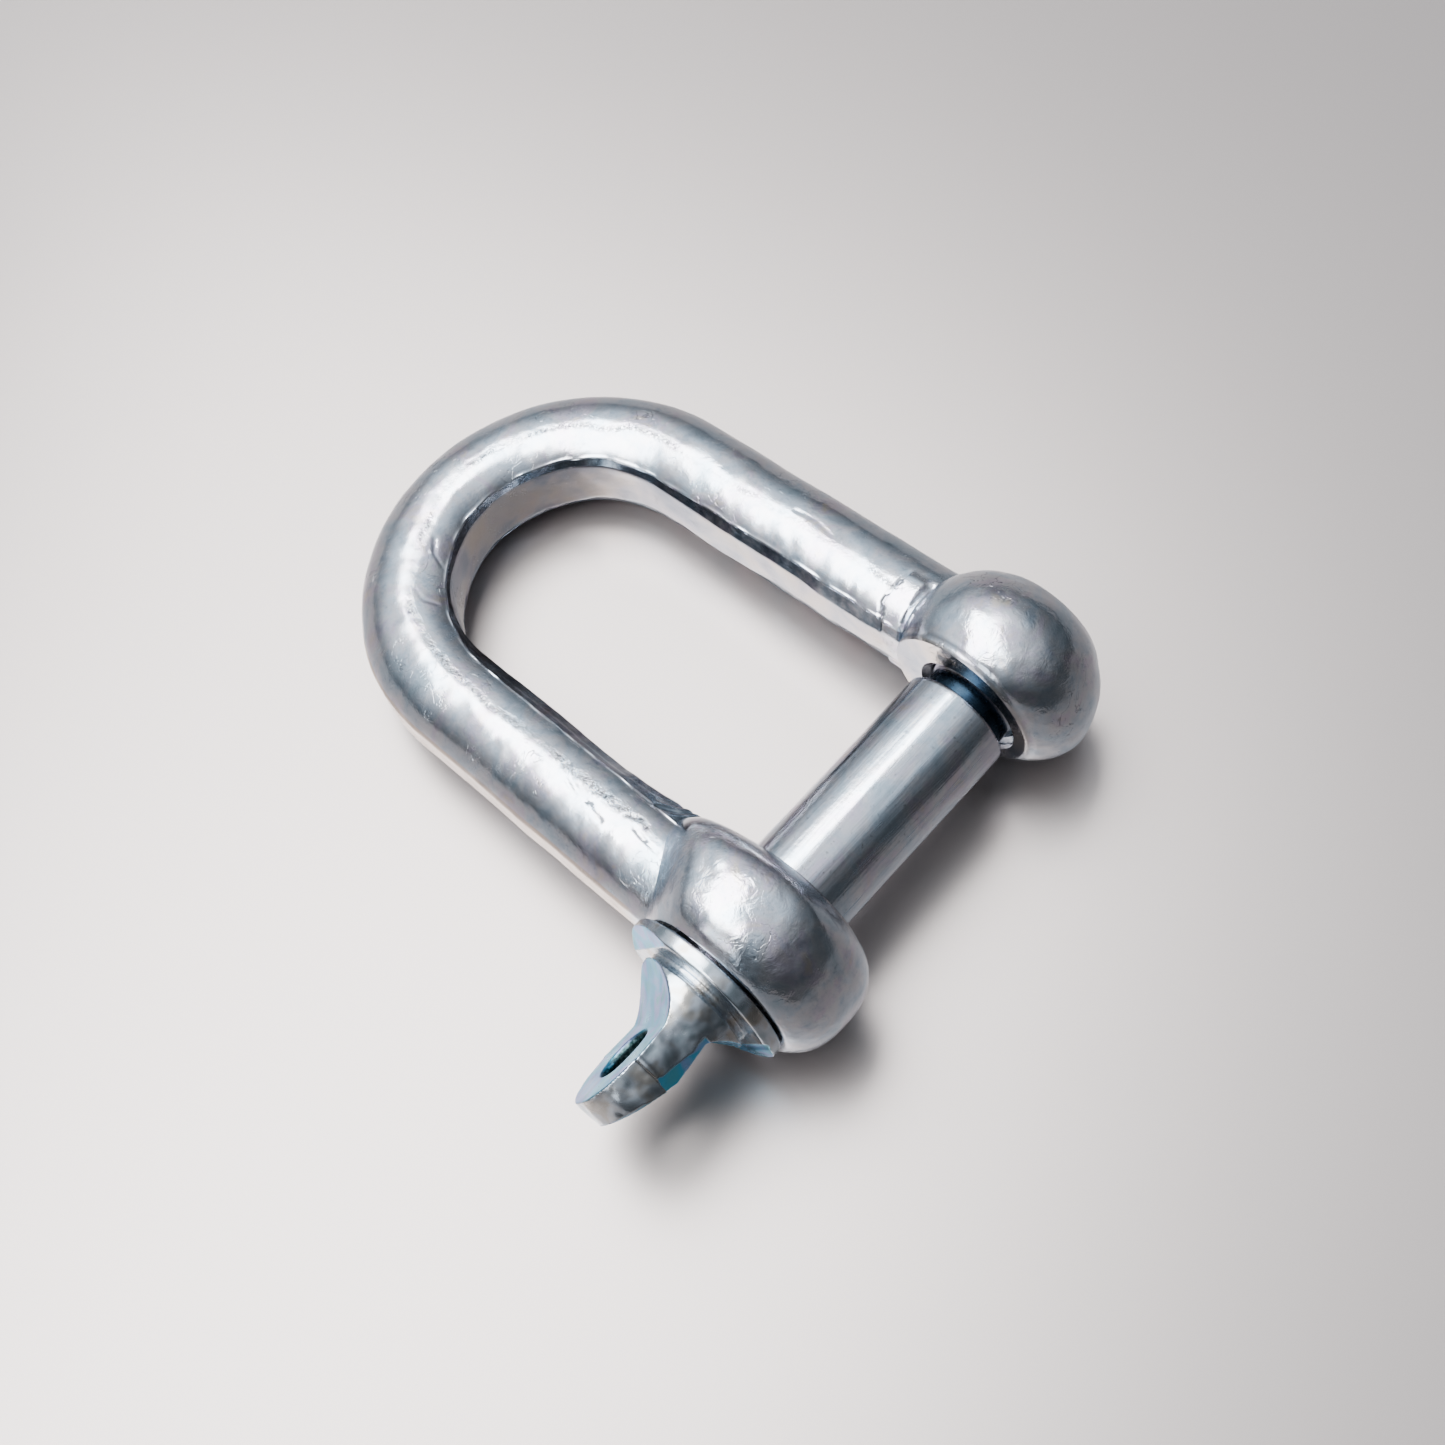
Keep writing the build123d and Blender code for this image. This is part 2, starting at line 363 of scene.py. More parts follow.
def half_section(s, side):
    """Points (inward, height) from the middle of the inner land, over the top, to the outer land."""
    ridge_in, crest = ridge_place(s, side)
    land = land_place(s)
    skin_in = ridge_in - 0.30
    lip_foot = crest + 0.10
    lip = 0.20 + 0.08 * rod_noise(s, side, 2.2, 19 + side)
    columns = []

    def run(start, end, count):
        for t in np.arange(count) / count:
            columns.append([(1 - t) * start[0] + t * end[0], (1 - t) * start[1] + t * end[1]])

    corners = [(land + 0.05, 0 * s), (land, crest - band_height(s, side)), (ridge_in, crest),
               (ridge_in + 0.05, lip_foot), (ridge_in - 0.10, lip_foot + lip),
               (skin_in, rod_height(skin_in, side))]
    points_to_next = (9, 14, 1, 2, 2)
    for start, end, count in zip(corners[:-1], corners[1:], points_to_next):
        run(start, end, count)
    # from there round the rod, easing back to its full radius by full_angle
    start_angle = np.arctan2(corners[-1][1], skin_in)
    short = ROD_R - np.hypot(skin_in, corners[-1][1])
    outer_half = math.sqrt(ROD_R ** 2 - OUTER_LAND ** 2)
    end_angle = math.pi - math.asin(outer_half / ROD_R)
    full_angle = 1.3
    round_points = 56
    for t in np.arange(round_points) / round_points:
        angle = (1 - t) * start_angle + t * end_angle
        radius = ROD_R - short * np.clip((full_angle - angle) / (full_angle - start_angle), 0, 1) ** 2
        columns.append([radius * np.cos(angle), radius * np.sin(angle)])
    run((-OUTER_LAND + 0 * s, outer_half + 0 * s), (-OUTER_LAND + 0 * s, 0 * s), 5)
    return np.moveaxis(np.array(columns), 0, -1)


def bow_rod():
    """The bent rod with its sheared lands, ridges, folds and forging ripples."""
    step = 0.32
    buried = 11.2
    s = np.linspace(buried, ROD_LENGTH - buried, int((ROD_LENGTH - 2 * buried) / step))
    centre, inward = centreline(s)
    top = half_section(s, 1)
    bottom = half_section(s, -1)
    # the ring runs over the top to the outer land's middle, and back along the underside
    a = np.concatenate([top[0], np.full((len(s), 1), -OUTER_LAND), bottom[0][:, :0:-1]], 1)
    h = np.concatenate([top[1], np.zeros((len(s), 1)), -bottom[1][:, :0:-1]], 1)
    a, h = leg_ends(s, a, h)
    points = centre[:, None] + inward[:, None] * a[..., None]
    points = points + np.array([0, 0, 1.0]) * h[..., None]
    normals = grid_normals(points)
    outside = np.sum(normals * (points - centre[:, None]), -1).mean() > 0
    normals = normals if outside else -normals
    land_half, land_lumps = 3.3, 0.35
    on_land = (np.abs(h) < land_half) & (a > INNER_LAND - 0.4)
    quiet = np.where(on_land, land_lumps, 1.0)
    points = forged(points, normals * quiet[..., None], seed=71)
    points = points - normals * (folds(points) + seam_pits(points))[..., None]
    rows, columns = a.shape
    faces = grid_faces(rows, columns).tolist()
    faces.append(list(range(columns))[::-1])
    faces.append([(rows - 1) * columns + k for k in range(columns)])
    return mesh_object("bow_rod", points.reshape(-1, 3), faces)


# The fold and the bevel round the far leg: distance from the pin's axis at each angle up from its inner side
FOLD_ANGLES = [42, 61, 80, 101]
FOLD_FROM_PIN = [15.6, 16.8, 16.6, 16.2]
BEVEL_ANGLES = [37, 101]
BEVEL_TOP_FROM_PIN = [12.6, 13.6]
BEVEL_FOOT_FROM_PIN = [11.6, 12.1]


def leg_ends(s, a, h):
    """Beside the threaded lug: a fold round the leg, a raised facet behind it, and a steep bevel."""
    facet_rise, groove_depth, groove_width, bevel_depth = 0.34, 0.24, 0.22, 1.3
    from_pin = (ROD_LENGTH - s)[:, None] + 0 * a
    angle = np.degrees(np.arctan2(np.abs(h), a))
    fold = np.interp(angle, FOLD_ANGLES, FOLD_FROM_PIN)
    bevel_top = np.interp(angle, BEVEL_ANGLES, BEVEL_TOP_FROM_PIN)
    bevel_foot = np.interp(angle, BEVEL_ANGLES, BEVEL_FOOT_FROM_PIN)
    facet = facet_rise * smooth_step(fold - from_pin, 0.0, 0.3)
    groove = groove_depth * ridge(from_pin, fold + 0.15, groove_width)
    bevel = bevel_depth * np.clip((bevel_top - from_pin) / (bevel_top - bevel_foot), 0, 1.2)
    seen = smooth_step(angle, 26, 34) * (1 - smooth_step(angle, 96, 108))
    radius = np.hypot(a, h)
    scale = 1 + (facet - groove - bevel) * seen / radius
    return a * scale, h * scale


def fold_distance(points, line):
    """Distance in plan from each point to a bent line."""
    best = np.full(points.shape[:-1], 99.0)
    for start, end in zip(line[:-1], line[1:]):
        start, end = np.array(start, float), np.array(end, float)
        d = end - start
        t = np.clip(((points[..., :2] - start) @ d) / (d @ d), 0, 1)
        gap = points[..., :2] - start - t[..., None] * d
        best = np.minimum(best, np.hypot(gap[..., 0], gap[..., 1]))
    return best


# Laps and folds left by the dies on the upper side: bent lines in plan, with width and depth
UPPER_FOLDS = [
    ([(25.4, 36.0), (25.9, 32.5), (25.2, 29.0)], 0.18, 0.10),
    ([(-25.6, 32.5), (-26.6, 29.5), (-26.2, 27.0)], 0.20, 0.16),
    ([(-25.0, 30.5), (-25.9, 28.5), (-26.9, 26.0), (-27.2, 24.2)], 0.18, 0.12),
    ([(-25.2, 19.7), (-25.7, 17.4), (-26.0, 14.8)], 0.20, 0.16),
    ([(-24.6, 22.0), (-23.6, 20.2), (-23.9, 18.4)], 0.18, 0.07),
    ([(-20.6, 20.6), (-19.2, 18.0), (-17.6, 16.6)], 0.30, 0.26),
    ([(-19.4, 21.4), (-18.0, 18.6), (-16.9, 17.6)], 0.26, 0.20),
    ([(-11.6, 71.5), (-11.0, 73.6), (-9.2, 75.2)], 0.20, 0.14),
    ([(-16.5, 67.2), (-17.6, 69.0), (-17.0, 71.0)], 0.18, 0.10),
]


def folds(points):
    """How deep the skin dips along the laps and folds."""
    above = smooth_step(points[..., 2], 2.0, 4.0)
    wander = 0.15 * noise(points, 2.4, 91)
    depth = np.zeros(points.shape[:-1])
    for line, width, deep in UPPER_FOLDS:
        depth += deep * ridge(fold_distance(points, line) + wander, 0.0, width) * above
    return depth


def seam(points):
    """0 to 1: a wandering rough line along the rod's upper and under sides, widest by the near lug."""
    s, a, h = rod_place(points)
    sides_apart = 40.0
    along = np.stack([s, 0 * s, sides_apart * np.sign(h)], -1)
    line = 1.0 + 0.55 * noise(along, 7.0, 93) + 0.25 * noise(along, 2.2, 94)
    broken = 0.25 + 0.75 * smooth_step(noise(along, 5.0, 95), -0.25, 0.35)
    by_near_lug = ridge(s, 27.0, 9.0)
    half_width = 0.5 + 0.4 * by_near_lug
    high_up = np.abs(h) > 5
    return ridge(a - line, 0.0, half_width) * np.maximum(broken, by_near_lug) * high_up


def seam_pits(points):
    """Depth of the small dents along the seam."""
    deepest = 0.07
    return deepest * seam(points) * smooth_step(noise(points, 0.75, 96), -0.10, 0.45)


# ---------------------------------------------------------------- lugs

def swell(x, lug, inner_edge, outer_edge):
    """Radius of a lug at distance x from the shackle's middle, passing its two edges at its two faces."""
    middle, power, radius = lug["middle"], lug["power"], lug["radius"]
    inner_half = (middle - lug["inner"]) / (1 - (inner_edge / radius) ** power) ** (1 / power)
    outer_half = (lug["outer"] - middle) / (1 - (outer_edge / radius) ** power) ** (1 / power)
    off = np.abs(x - middle) / np.where(x < middle, inner_half, outer_half)
    return radius * (1 - off ** power) ** (1 / power)


def plain_lug_radius(x, around):
    """The near lug: square on its collar side, a nose over the leg, and a slanted flank to the outer land."""
    inner_edge = 9.8 + 1.6 * np.sin(np.abs(around) - math.radians(80)) ** 2
    collar_edge = 13.0
    base = swell(x, PLAIN_LUG, inner_edge, collar_edge)
    nose_rise = 2.1
    nose = nose_rise * ridge(x, 21.0, 8.5) * ridge(np.abs(around), math.radians(28), math.radians(34))
    # the flank is a plane, given by its normal and its distance from the shackle's middle
    across, along, up, distance = 0.532, 0.711, 0.462, 27.6
    lean = np.maximum(along * np.cos(around) + up * np.abs(np.sin(around)), 0.05)
    flank = (distance - across * x) / lean
    return soft_min(base + nose * smooth_step(x, 17.4, 19.4), flank, 3.0)


def threaded_lug_radius(x, around):
    """The far lug: a round bulb, cut flat on its inner side and less so on its outer side."""
    inner_edge = 11.2 + 1.3 * np.cos(around - math.radians(30))
    outer_edge = 9.0
    return swell(x, THREADED_LUG, inner_edge, outer_edge)


def outline_places(lug, radius_at, step):
    """Distances from the shackle's middle that step evenly over a lug's swell."""
    samples = 600
    turn = np.linspace(0, math.pi, samples)
    x = lug["inner"] + (lug["outer"] - lug["inner"]) * (1 - np.cos(turn)) / 2
    r = radius_at(x, np.full(x.shape, math.pi / 2))
    run = np.concatenate([[0], np.cumsum(np.hypot(np.diff(x), np.diff(r)))])
    return np.interp(np.linspace(0, run[-1], int(run[-1] / step)), run, x)


def plain_bore(lug):
    """The plain hole's wall from the outer face to the inner one, with rounded mouths."""
    mouth_in, mouth_end, opened, inside_rings = 0.2, 0.6, 0.175, 30
    inside = np.linspace(lug["outer"] - 1.0, lug["inner"] + 1.0, inside_rings)
    outer_mouth = [lug["outer"] - mouth_in, lug["outer"] - mouth_end]
    inner_mouth = [lug["inner"] + mouth_end, lug["inner"] + mouth_in]
    r = np.full(inside_rings + 4, PIN_HOLE_R)
    r[[0, -1]] += opened
    return np.concatenate([outer_mouth, inside, inner_mouth]), r


def face_rings(x, edge, mouth_r, columns, outwards):
    """Rings of a lug's flat face at x, from its mouth outwards to its edge, or back."""
    count = 10
    if outwards:
        t = np.linspace(0, 1, count, endpoint=False)
    else:
        t = np.linspace(1, 0, count, endpoint=False) - 1 / count
    return np.full((count, columns), x), mouth_r + (edge - mouth_r) * t[:, None]


def bore_rings(lug, around, threaded):
    """Rings of a lug's bore, from its outer face back to its inner one."""
    if threaded:
        x = np.arange(lug["outer"] - 0.1, lug["inner"] + 0.05, -0.16)
        r = threaded_radius(x[:, None], around[None], lug)
    else:
        x, r = plain_bore(lug)
        r = np.repeat(r[:, None], len(around), 1)
    return np.repeat(x[:, None], len(around), 1), r


def lug_normals(points, lug, side):
    """Unit normals of a lug's rings, away from the ring that runs through the middle of its metal."""
    normals = grid_normals(points, close_rows=True)
    centre = np.array([side * lug["middle"], 0, 0])
    ring = points * np.array([0, 1, 1])
    ring = ring / np.linalg.norm(ring, axis=-1, keepdims=True) * (PIN_HOLE_R + lug["radius"]) / 2
    outward = np.sum(normals * (points - centre - ring), -1).mean() > 0
    return normals if outward else -normals


def lug_solid(name, lug, radius_at, side, threaded, seed):
    """A lug as rings about the pin's axis: inner face, swell, outer face, and the bore back through it."""
    step, columns = 0.32, 320
    around = np.linspace(-math.pi, math.pi, columns, endpoint=False)
    mouth_r = NUT_MOUTH_R if threaded else PIN_HOLE_R + 0.5
    swell_x = np.repeat(outline_places(lug, radius_at, step)[:, None], columns, 1)
    swell_r = radius_at(swell_x, around[None])
    across = np.diff(swell_x, axis=0, prepend=swell_x[:1])
    run = np.cumsum(np.hypot(across, np.diff(swell_r, axis=0, prepend=swell_r[:1])), 0)
    inner_x, inner_r = face_rings(lug["inner"], swell_r[:1], mouth_r, columns, True)
    outer_x, outer_r = face_rings(lug["outer"], swell_r[-1:], mouth_r, columns, False)
    bore_x, bore_r = bore_rings(lug, around, threaded)
    x = np.concatenate([inner_x, swell_x, outer_x, bore_x])
    r = np.concatenate([inner_r, swell_r, outer_r, bore_r])
    points = np.stack([side * x, r * np.cos(around), r * np.sin(around)], -1)
    normals = lug_normals(points, lug, side)
    # the faces stay nearly flat, and the swell's lumps fade towards its two edges
    on_swell = slice(len(inner_x), len(inner_x) + len(swell_x))
    rough = np.zeros(x.shape)
    rough[on_swell] = 0.25 + 0.75 * smooth_step(run, 0.5, 2.5) * smooth_step(run[-1:] - run, 0.5, 2.5)
    rough[:len(inner_x)] = 0.25 * smooth_step(inner_r, mouth_r, mouth_r + 1.0)
    points = forged(points, normals * rough[..., None], seed, lumps=1.6)
    lip = 0.10 * ridge(run, 0.3, 0.25) - 0.15 * ridge(run, 0.95, 0.3) + 0.06 * ridge(run, 1.55, 0.3)
    points[on_swell] += normals[on_swell] * lug["lip"] * lip[..., None]
    return mesh_object(name, points.reshape(-1, 3), grid_faces(len(x), columns, close_rows=True))


def threaded_radius(x, around, lug):
    """The tapped wall: one start, right hand, in step with the CAD thread, countersunk at both mouths."""
    crest_half, root_half = 0.125, 0.15
    phase = (around + math.pi / 2) / (2 * math.pi) - (x - THREAD_FROM) / PITCH
    off_crest = np.abs((phase + 0.5) % 1.0 - 0.5) * PITCH
    climb = np.clip((off_crest - crest_half) / (PITCH / 2 - crest_half - root_half), 0, 1)
    thread = NUT_CREST_R - (NUT_CREST_R - NUT_ROOT_R) * climb
    depth = np.minimum(x - lug["inner"], lug["outer"] - x)
    return np.maximum(thread, NUT_MOUTH_R - np.maximum(depth, 0))


def rod_masks(points):
    """From 0 to 1 for each point: flat land or lug face, outer land, slanted band (where painted shade goes),
    pitted seam and lug.
    """
    s, a, h = rod_place(points)
    high = np.abs(h)
    crest = np.where(h > 0, ridge_place(s, 1)[1], ridge_place(s, -1)[1])
    foot = crest - np.where(h > 0, band_height(s, 1), band_height(s, -1))
    on_rod = smooth_step(points[:, 1], 13.0, 17.0)
    below_band = 1 - smooth_step(high, foot - 0.2, foot + 0.1)
    inner = smooth_step(a, INNER_LAND - 0.2, INNER_LAND + 0.1) * below_band
    outer = smooth_step(-a, OUTER_LAND - 0.45, OUTER_LAND - 0.2) * (high < 3.0)
    below_ridge = 1 - smooth_step(high, crest - 0.1, crest + 0.15)
    band = smooth_step(high, foot - 0.1, foot + 0.15) * below_ridge * (a > 4.0)
    # the band's painted shade is stronger on the far leg, and a painted highlight line wanders along the middle of
    # the near leg's band
    wander = rod_noise(s, np.sign(h), 6.0, 23)
    painted_highlight_line = ridge(high, foot + (crest - foot) * (0.50 + 0.22 * wander), 0.17)
    band = band * (0.62 + 0.16 * on_far_leg(s)) * (1 - 0.70 * painted_highlight_line * on_near_leg(s))
    face_x = np.where(points[:, 0] > 0, THREADED_LUG["inner"], PLAIN_LUG["inner"])
    face = 1 - smooth_step(np.abs(points[:, 0]), face_x + 0.2, face_x + 0.6)
    land = np.maximum(inner, outer) * on_rod + face * (1 - on_rod)
    return {"land": land, "outer": outer * on_rod, "band": band * on_rod, "seam": seam(points) * on_rod,
            "lug": 1 - on_rod}


def point_mask(mesh, name, values):
    """Store a value for each point, for the materials."""
    mask = mesh.attributes.new(name, "FLOAT", "POINT")
    mask.data.foreach_set("value", values.astype(np.float32))


def shackle_forging():
    """The bow and both lugs welded into one skin, with the creases where they meet slightly filled."""
    body = bow_rod()
    lugs = [lug_solid("plain_lug", PLAIN_LUG, plain_lug_radius, -1, False, 201),
            lug_solid("threaded_lug", THREADED_LUG, threaded_lug_radius, 1, True, 301)]
    for lug in lugs:
        union = body.modifiers.new("weld", "BOOLEAN")
        union.operation = "UNION"
        union.solver = "EXACT"
        union.object = lug
    applied(body)
    for lug in lugs:
        bpy.data.objects.remove(lug)
    body.name = "bow_forging"
    sharpest_smooth = math.radians(38)
    body.data.polygons.foreach_set("use_smooth", [True] * len(body.data.polygons))
    body.data.set_sharp_from_angle(angle=sharpest_smooth)
    for name, values in rod_masks(stood_up(vertex_array(body.data))).items():
        point_mask(body.data, name, values)
    return body


# ---------------------------------------------------------------- pin

def pin_shank():
    """The plain shank: faint lengthwise hollows from rolling, and a worn round shoulder."""
    shoulder, step, columns = 0.7, 0.4, 200
    bend = np.linspace(0, math.pi / 2, 7)
    x = np.concatenate([[-COLLAR_X], np.arange(-COLLAR_X + step, SHANK_END - shoulder, step),
                        SHANK_END - shoulder + shoulder * np.sin(bend)])
    r = np.concatenate([np.full(len(x) - len(bend), PIN_R), PIN_R - shoulder + shoulder * np.cos(bend)])
    around = np.linspace(0, 2 * math.pi, columns, endpoint=False)
    x = np.repeat(x[:, None], columns, 1)
    r = np.repeat(r[:, None], columns, 1)
    # noise over a shortened pin gives hollows that run along it; the clearance keeps them inside the CAD
    shortened, clearance = 0.12, 0.05
    stretched = np.stack([x * shortened, r * np.cos(around), r * np.sin(around)], -1)
    r = r - clearance + 0.045 * noise(stretched, 2.6, 401) + 0.015 * noise(stretched, 0.9, 402)
    points = np.stack([x, r * np.cos(around), r * np.sin(around)], -1)
    faces = grid_faces(len(x), columns).tolist()
    last = (len(x) - 1) * columns
    faces.append(list(range(columns)))
    faces.append([last + k for k in range(columns)][::-1])
    return mesh_object("pin_shank_skin", points.reshape(-1, 3), faces)


def head_frame(points):
    """Outward along the pin, across the eye's plate, and along its width, from shackle millimetres."""
    c, s = math.cos(EYE_CLOCK), math.sin(EYE_CLOCK)
    across = points[..., 1] * c + points[..., 2] * s
    along = -points[..., 1] * s + points[..., 2] * c
    return -points[..., 0], across, along


def head_lumps(points):
    """Lumps of the head's as-forged skin."""
    return 0.24 * noise(points, 4.4, 501) + 0.14 * noise(points, 2.4, 502) + 0.03 * noise(points, 1.1, 503)


# Outlines of the head, as distances out along the pin from the shackle's middle
NECK_OUTLINE = ([NECK_X, 36.6, 37.3, 39.5, 43.0, 48.0, 48.4], [7.9, 7.9, 8.9, 8.9, 8.5, 9.1, 9.3])
COLLAR_FACET_OUTLINE = ([COLLAR_X, 34.9, 36.0, 36.6], [16.5, 12.5, 8.7, 8.4])
UNDER_PLATE_OUTLINE = ([41.0, 47.0, 57.3], [3.5, 4.3, 1.9])
NECK_END = 48.9
PRESS_START = 37.0
HOLLOW_END = 41.0
FAR_OUTSIDE = 99.0


def head_blank(points, lumps=0.0):
    """The head as upset: collar, neck with a groove at its foot and a lip at its end, and a lumpy eye."""
    out, across, along = head_frame(points)
    radius = np.hypot(across, along)
    collar_round = 0.45
    rim = radius - COLLAR_R + collar_round + 0.4 * lumps
    slab = np.abs(out - (COLLAR_X + NECK_X) / 2) - (NECK_X - COLLAR_X) / 2 + collar_round
    corner = np.hypot(np.maximum(rim, 0), np.maximum(slab, 0))
    collar = corner + np.minimum(np.maximum(rim, slab), 0) - collar_round
    neck_r = np.interp(out, *NECK_OUTLINE)
    neck = np.maximum(radius - neck_r, out - NECK_END) + 1.3 * lumps * smooth_step(out, 36.6, 38.0)
    eye_width, eye_depth = 8.8, 13.0
    eye = np.sqrt(((out - EYE_X) / EYE_REACH) ** 2 + (along / eye_width) ** 2 + (across / eye_depth) ** 2)
    eye = (eye - 1) * eye_width + 1.2 * lumps
    return np.minimum(collar, soft_min(neck, eye, 0.4))


def plate_upper(out):
    """How far from the pin's axis the press stops on the upper side: collar facet, hollow, flat plate."""
    facet = np.interp(out, *COLLAR_FACET_OUTLINE)
    before_plate = np.maximum(PLATE_START - out, 0)
    hollow = PLATE_HALF + 0.35 * before_plate + 0.0986 * before_plate ** 2
    return np.minimum(facet, np.where(out < PRESS_START, FAR_OUTSIDE, hollow))


def plate_lower(out):
    """The same on the under side, where the plate is uneven."""
    facet = np.interp(out, *COLLAR_FACET_OUTLINE)
    before_end = HOLLOW_END - out
    hollow = 3.5 + 0.45 * before_end + 0.17 * np.maximum(before_end, 0) ** 2
    plate = np.interp(out, *UNDER_PLATE_OUTLINE)
    return np.where(out < PRESS_START, facet, np.where(out < HOLLOW_END, hollow, plate))


def press_marks(points):
    """What the dies leave: two slanted facets on the collar, two hollows, the plate's faces and a bevel."""
    out, across, along = head_frame(points)
    steepness = 0.72
    faces = np.maximum(steepness * (across - plate_upper(out)), steepness * (-across - plate_lower(out)))
    bevel_start, bevel_distance, no_bevel = 40.5, 8.2, -9.0
    on_bevel = (out > bevel_start) & (out < NECK_END)
    bevel = np.where(on_bevel, -0.6 * across + 0.8 * along - bevel_distance, no_bevel)
    scallop_r, scallop_depth = 1.5, 9.9
    scallop = scallop_r - np.hypot(out - PRESS_START, across + scallop_depth)
    hole = EYE_HOLE_R + 0.25 * ridge(np.abs(across), PLATE_HALF, 0.4) - np.hypot(out - EYE_X, along)
    return np.maximum(np.maximum(faces, bevel), np.maximum(scallop, hole))


def head_even(points):
    """Negative inside the head, before its skin gets its lumps."""
    return np.maximum(np.maximum(head_blank(points), press_marks(points)), COLLAR_X + points[..., 0])


def head_field(points):
    """Negative inside the finished head."""
    blank = head_blank(points, head_lumps(points))
    pressed = press_marks(points) + 0.03 * noise(points, 3.0, 504)
    return np.maximum(np.maximum(blank, pressed), COLLAR_X + points[..., 0])


def pin_head():
    """The head: its upset blank cut by the marks of the press, meshed finely."""
    reach = COLLAR_R + 0.8
    low, high = (-EYE_X - EYE_REACH - 1.2, -reach, -reach), (-COLLAR_X + 0.6, reach, reach)
    points, quads = level_surface(head_even, low, high, step=0.2)
    points = settled(points, head_field, rounds=6)
    blank = head_blank(points, head_lumps(points))
    pressed = smooth_step(press_marks(points) - blank, -0.12, 0.05)
    out, _, along = head_frame(points)
    off_hole = smooth_step(np.hypot(out - EYE_X, along), EYE_HOLE_R + 0.1, EYE_HOLE_R + 0.35)
    obj = mesh_object("pin_head_forging", points, quads)
    point_mask(obj.data, "pressed", pressed)
    point_mask(obj.data, "hole", 1 - off_hole)
    return obj


# ---------------------------------------------------------------- materials

class Nodes:
    """A short way to write a material's node tree."""

    def __init__(self, name):
        self.material = bpy.data.materials.new(name)
        self.material.use_nodes = True
        self.tree = self.material.node_tree
        self.shader = self.tree.nodes["Principled BSDF"]
        self.coords = self.add("ShaderNodeTexCoord").outputs["Object"]

    def mask(self, name):
        """A value stored for each point by point_mask()."""
        return self.add("ShaderNodeAttribute", attribute_name=name).outputs["Fac"]

    def add(self, kind, **settings):
        """A new node of a kind, with its settings."""
        node = self.tree.nodes.new(kind)
        for key, value in settings.items():
            setattr(node, key, value)
        return node

    def join(self, output, target):
        """Link one node's output to another's input."""
        self.tree.links.new(output, target)

    def along_pin(self, share):
        """Coordinates in the shackle's own frame, drawn out along the pin."""
        mapping = self.add("ShaderNodeMapping", vector_type="TEXTURE")
        mapping.inputs["Rotation"].default_value = Matrix(AXES.T.tolist()).to_euler()
        mapping.inputs["Scale"].default_value = (1 / share, 1.0, 1.0)
        self.join(self.coords, mapping.inputs["Vector"])
        return mapping.outputs["Vector"]

    def noise(self, size_mm, detail, rough, vector=None, distort=0.0):
        """Noise about 0.5, with lumps about size_mm across."""
        node = self.add("ShaderNodeTexNoise")
        self.join(vector or self.coords, node.inputs["Vector"])
        node.inputs["Scale"].default_value = 1.0 / (size_mm * MM)
        node.inputs["Detail"].default_value = detail
        node.inputs["Roughness"].default_value = rough
        node.inputs["Distortion"].default_value = distort
        return node.outputs["Fac"]

    def vein(self, size_mm, width):
        """Thin wandering lines, where a noise passes through its middle."""
        off_middle = self.math("SUBTRACT", self.noise(size_mm, 3.0, 0.55, distort=0.4), 0.5)
        return self.range(self.math("ABSOLUTE", off_middle, 0.0), 1.0, 0.0, 0.0, width)

    def ramp(self, value, stops):
        """A colour for each value, from stops of (value, colour)."""
        node = self.add("ShaderNodeValToRGB")
        self.join(value, node.inputs["Fac"])
        while len(node.color_ramp.elements) < len(stops):
            node.color_ramp.elements.new(0.5)
        for element, (at, colour) in zip(node.color_ramp.elements, stops):
            element.position = at
            element.color = (*colour, 1.0)
        return node.outputs["Color"]

    def above(self, value, low, high):
        """0 up to low, 1 from high, and a ramp between."""
        return self.range(value, 0.0, 1.0, low, high)

    def range(self, value, low, high, from_low=0.3, from_high=0.7):
        """Map from_low to low and from_high to high, held between them."""
        node = self.add("ShaderNodeMapRange")
        self.join(value, node.inputs["Value"])
        ends = {"From Min": from_low, "From Max": from_high, "To Min": low, "To Max": high}
        for key, number in ends.items():
            node.inputs[key].default_value = number
        return node.outputs["Result"]

    def math(self, kind, a, b):
        """One step of arithmetic on two values, each a number or another node's output."""
        node = self.add("ShaderNodeMath", operation=kind)
        for socket, value in zip(node.inputs, (a, b)):
            if isinstance(value, (int, float)):
                socket.default_value = value
            else:
                self.join(value, socket)
        return node.outputs["Value"]

    def mix(self, factor, a, b):
        """From a to b, each a colour or another node's output."""
        node = self.add("ShaderNodeMix", data_type="RGBA", blend_type="MIX")
        self.join(factor, node.inputs["Factor"])
        for socket, value in ((node.inputs["A"], a), (node.inputs["B"], b)):
            if isinstance(value, tuple):
                socket.default_value = (*value, 1.0)
            else:
                self.join(value, socket)
        return node.outputs["Result"]

    def bump(self, height, depth_mm, previous=None):
        """Relief depth_mm deep, on top of a previous one."""
        node = self.add("ShaderNodeBump")
        node.inputs["Strength"].default_value = 1.0
        node.inputs["Distance"].default_value = depth_mm * MM
        self.join(height, node.inputs["Height"])
        if previous:
            self.join(previous, node.inputs["Normal"])
        return node.outputs["Normal"]


